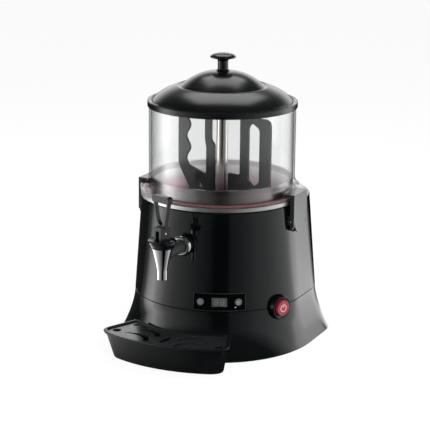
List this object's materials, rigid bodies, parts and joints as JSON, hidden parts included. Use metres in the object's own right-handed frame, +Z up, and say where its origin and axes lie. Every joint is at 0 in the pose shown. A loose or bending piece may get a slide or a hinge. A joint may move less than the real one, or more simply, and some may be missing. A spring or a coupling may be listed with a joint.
{
  "type": "hot chocolate dispenser",
  "caption": "Countertop hot chocolate dispenser: a clear container with a turning stirrer on a flared black body, with a lever tap over a drip tray.",
  "frame": {"origin": "centre of the bounding box at the level of the feet's undersides", "axes": "+Z up, front with the tap and tray towards -Y, +X to the right seen from the front"},
  "size_m": [0.32, 0.4, 0.46],
  "materials": {
    "gloss_black": "gloss",
    "satin_black": "satin",
    "matt_black": "matt",
    "grate_grey": "satin",
    "steel": "brushed",
    "chrome": "polished",
    "clear": "clear polycarbonate",
    "silicone": "matt",
    "rubber": "matt",
    "red": "gloss",
    "display": "gloss",
    "circuit": "matt",
    "motor_grey": "satin",
    "nylon": "matt"
  },
  "bodies": {
    "machine_body": {"upper_housing": "gloss_black", "base_housing": "gloss_black", "bottom_plate": "steel", "foot_1": "rubber", "foot_2": "rubber", "foot_3": "rubber", "foot_4": "rubber", "water_tank": "steel", "product_pan": "steel", "centre_column": "steel", "pan_lip_seal": "silicone", "bowl_gasket": "silicone", "container": "clear", "motor_bracket": "steel", "gearbox": "motor_grey", "motor": "motor_grey", "heating_element": "steel", "temperature_probe": "steel", "thermal_cutout": "matt_black", "control_board": "circuit", "display_module": "matt_black", "panel_bezel": "satin_black", "display_window": "display", "switch_bezel": "satin_black", "switch_body": "matt_black", "tap_shank": "matt_black", "shank_nut": "chrome", "escutcheon": "chrome", "shank_lock_nut": "steel", "tap_body": "chrome", "tap_bonnet": "gloss_black", "tap_spring": "steel", "clip_bracket_left": "matt_black", "clip_bracket_right": "matt_black", "cord_gland": "rubber", "terminal_block": "nylon"},
    "lid": {"lid": "satin_black", "lid_knob": "satin_black", "lid_knob_screw": "steel"},
    "stirrer": {"stirrer_sleeve": "steel", "stirrer_paddle": "matt_black", "drive_cap": "matt_black", "drive_shaft": "steel"},
    "tap_stem": {"tap_stem": "steel", "tap_seat_cup": "silicone"},
    "tap_handle": {"tap_handle": "satin_black", "tap_handle_pin": "steel"},
    "button_left": {"button_left": "satin_black"},
    "button_right": {"button_right": "satin_black"},
    "power_button": {"switch_cap": "red"},
    "clip_left": {"clip_left": "satin_black", "clip_pin_left": "steel"},
    "clip_right": {"clip_right": "satin_black", "clip_pin_right": "steel"},
    "drip_tray": {"drip_tray": "satin_black"},
    "drip_grate": {"drip_grate": "grate_grey"}
  },
  "joints": [
    {"name": "lid_lift", "type": "slide", "parent": "machine_body", "child": "lid", "axis": [0, 0, 1], "range_m": [0, 0.15]},
    {"name": "stirrer_spin", "type": "hinge", "parent": "machine_body", "child": "stirrer", "pos_m": [0, 0.036, 0.2], "axis": [0, 0, 1], "continuous": true},
    {"name": "stem_lift", "type": "slide", "parent": "machine_body", "child": "tap_stem", "axis": [0, 0, 1], "range_m": [0, 0.00445], "deforming": ["tap_spring"]},
    {"name": "handle_tilt", "type": "hinge", "parent": "tap_stem", "child": "tap_handle", "pos_m": [0, -0.173, 0.215], "axis": [0.9397, -0.342, 0], "range_deg": [0, 30], "stiffness_Nm_per_rad": 0.4},
    {"name": "button_left_press", "type": "slide", "parent": "machine_body", "child": "button_left", "axis": [-0.2113, 0.9774, 0], "range_m": [0, 0.001], "stiffness_N_per_m": 400},
    {"name": "button_right_press", "type": "slide", "parent": "machine_body", "child": "button_right", "axis": [-0.5962, 0.8028, 0], "range_m": [0, 0.001], "stiffness_N_per_m": 400},
    {"name": "power_press", "type": "slide", "parent": "machine_body", "child": "power_button", "axis": [-0.9135, 0.4067, 0], "range_m": [0, 0.003], "stiffness_N_per_m": 400},
    {"name": "clip_left_swing", "type": "hinge", "parent": "machine_body", "child": "clip_left", "pos_m": [-0.1326, 0.036, 0.2046], "axis": [0, -1, 0], "range_deg": [0, 8.5], "stiffness_Nm_per_rad": 0.5},
    {"name": "clip_right_swing", "type": "hinge", "parent": "machine_body", "child": "clip_right", "pos_m": [0.1326, 0.036, 0.2046], "axis": [0, 1, 0], "range_deg": [0, 8.5], "stiffness_Nm_per_rad": 0.5},
    {"name": "tray_slide", "type": "slide", "parent": "machine_body", "child": "drip_tray", "axis": [0, -1, 0], "range_m": [0, 0.08]},
    {"name": "grate_lift", "type": "slide", "parent": "drip_tray", "child": "drip_grate", "axis": [0, 0, 1], "range_m": [0, 0.05]}
  ],
  "couplings": [
    {"joint": "handle_tilt", "follows": "stem_lift", "rad_per_m": 117.65}
  ]
}
